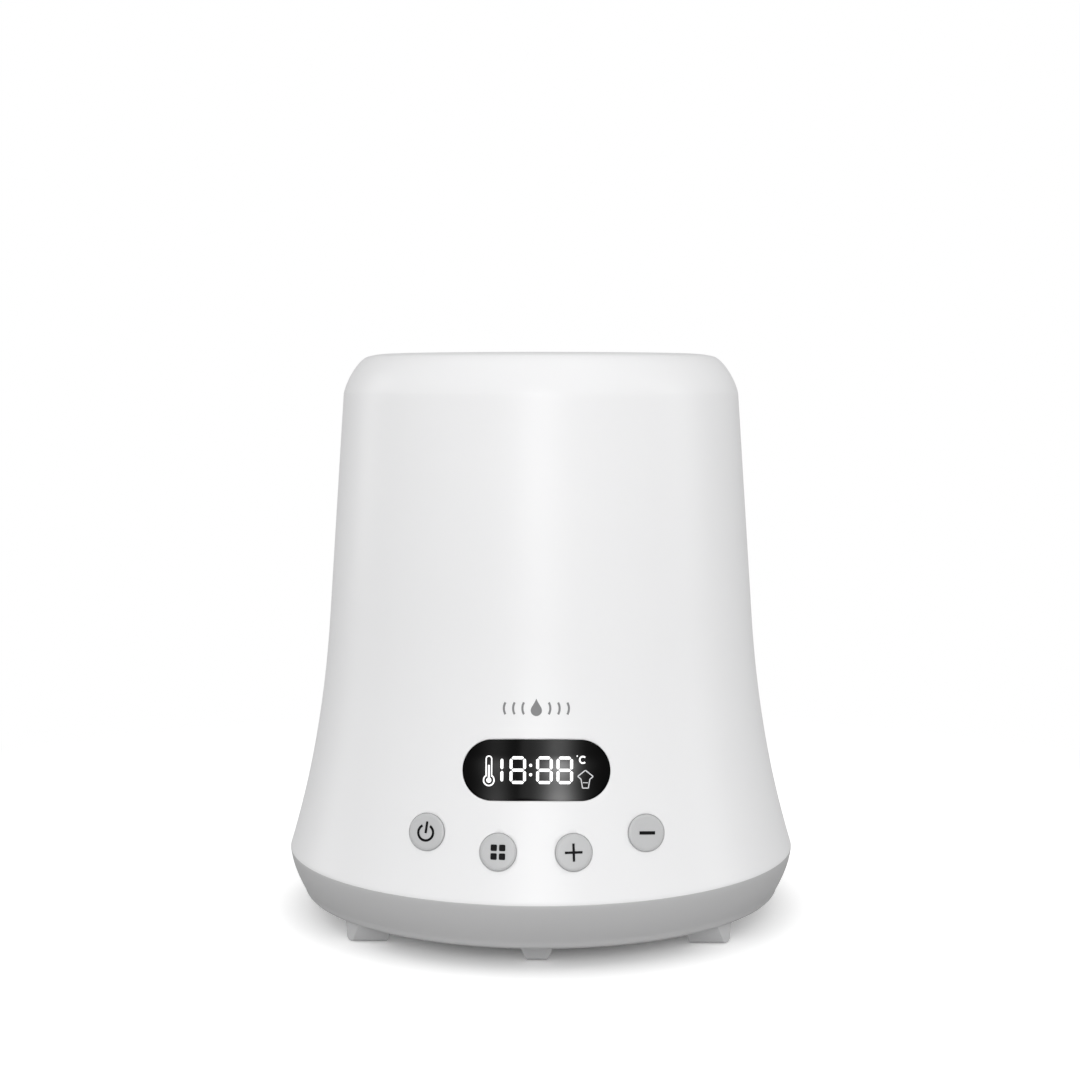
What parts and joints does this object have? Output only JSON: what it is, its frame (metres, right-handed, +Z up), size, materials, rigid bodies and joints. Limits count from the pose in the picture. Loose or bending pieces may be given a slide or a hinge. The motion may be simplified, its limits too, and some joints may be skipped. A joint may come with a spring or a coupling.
{
  "type": "bottle warmer",
  "caption": "Flared round bottle warmer with a deep heated well, a lift-out basket, a lit display, push keys and small feet under a tapered base.",
  "frame": {"origin": "on the table, under the axis of the housing", "axes": "+Z up out of the well, -Y towards the display and keys, +Y towards the mains lead's hole"},
  "size_m": [0.144, 0.144, 0.1585],
  "materials": {
    "shell_plastic": "glossy white moulded plastic",
    "pan_plastic": "satin mid-grey moulded plastic",
    "foot_rubber": "soft pale grey rubber",
    "screw_steel": "zinc-plated steel",
    "dark_rubber": "dark grey rubber",
    "inner_plastic": "natural nylon",
    "tank_plastic": "smooth white heat-proof plastic",
    "seal_silicone": "translucent grey silicone",
    "plate_metal": "non-stick coated cast aluminium",
    "bracket_steel": "plain pressed steel",
    "element_sheath": "heat-darkened steel sheath",
    "sensor_brass": "turned brass",
    "basket_plastic": "smooth pale grey plastic",
    "board_green": "green solder mask",
    "transformer_core": "yellow tape over a ferrite core",
    "relay_blue": "satin blue plastic case",
    "capacitor_yellow": "satin yellow plastic case",
    "capacitor_sleeve": "dark blue shrink sleeve",
    "chip_black": "black moulding compound",
    "sink_aluminium": "extruded aluminium",
    "fuse_body": "ceramic tube with metal caps",
    "connector_ivory": "ivory nylon",
    "lead_red": "red silicone insulation",
    "lead_white": "white silicone insulation",
    "ribbon_grey": "grey flat cable",
    "switch_black": "black plastic",
    "display_face": "black display face with white segments",
    "holder_black": "black plastic light box",
    "foam_tape": "grey foam tape",
    "window_smoked": "polished smoked black plastic",
    "key_plastic": "satin light grey plastic with dark printed symbols"
  },
  "bodies": {
    "housing": {"outer_shell": "shell_plastic", "base_pan": "pan_plastic", "base_screws": "screw_steel", "cord_gland": "dark_rubber", "cord_clamp": "inner_plastic", "cord_clamp_screws": "screw_steel", "water_tank": "tank_plastic", "tank_screws": "screw_steel", "rim_seal": "seal_silicone", "heating_plate": "plate_metal", "plate_seal": "seal_silicone", "heater_clamp": "bracket_steel", "clamp_screws": "screw_steel", "heating_element": "element_sheath", "thermal_cutout": "bracket_steel", "stud_nuts": "screw_steel", "thermistor": "sensor_brass", "thermistor_clip": "bracket_steel", "power_board": "board_green", "board_screws": "screw_steel", "transformer": "transformer_core", "relay": "relay_blue", "mains_capacitor": "capacitor_yellow", "smoothing_capacitors": "capacitor_sleeve", "triac": "chip_black", "heat_sink": "sink_aluminium", "fuse": "fuse_body", "board_connectors": "connector_ivory", "heater_leads": "lead_red", "sensor_lead": "lead_white", "ribbon_cable": "ribbon_grey", "control_board": "board_green", "control_screws": "screw_steel", "tact_switches": "switch_black", "microcontroller": "chip_black", "buzzer": "chip_black", "ribbon_socket": "connector_ivory", "display_module": "display_face", "display_holder": "holder_black", "window_tape": "foam_tape", "display_window": "window_smoked", "foot_1": "foot_rubber", "foot_2": "foot_rubber", "foot_3": "foot_rubber", "foot_4": "foot_rubber", "foot_5": "foot_rubber", "foot_6": "foot_rubber"},
    "basket": {"lift_basket": "basket_plastic"},
    "power_button": {"power_key": "key_plastic", "power_plunger": "switch_black"},
    "mode_button": {"mode_key": "key_plastic", "mode_plunger": "switch_black"},
    "plus_button": {"plus_key": "key_plastic", "plus_plunger": "switch_black"},
    "minus_button": {"minus_key": "key_plastic", "minus_plunger": "switch_black"}
  },
  "joints": [
    {"name": "basket_lift", "type": "slide", "parent": "housing", "child": "basket", "axis": [0, 0, 1], "range_m": [0, 0.1]},
    {"name": "power_press", "type": "slide", "parent": "housing", "child": "power_button", "axis": [0, 0.9788, -0.2049], "range_m": [0, 0.0008], "stiffness_N_per_m": 1500, "springref_m": -0.0004},
    {"name": "mode_press", "type": "slide", "parent": "housing", "child": "mode_button", "axis": [0, 0.9788, -0.2049], "range_m": [0, 0.0008], "stiffness_N_per_m": 1500, "springref_m": -0.0004},
    {"name": "plus_press", "type": "slide", "parent": "housing", "child": "plus_button", "axis": [0, 0.9788, -0.2049], "range_m": [0, 0.0008], "stiffness_N_per_m": 1500, "springref_m": -0.0004},
    {"name": "minus_press", "type": "slide", "parent": "housing", "child": "minus_button", "axis": [0, 0.9788, -0.2049], "range_m": [0, 0.0008], "stiffness_N_per_m": 1500, "springref_m": -0.0004}
  ]
}
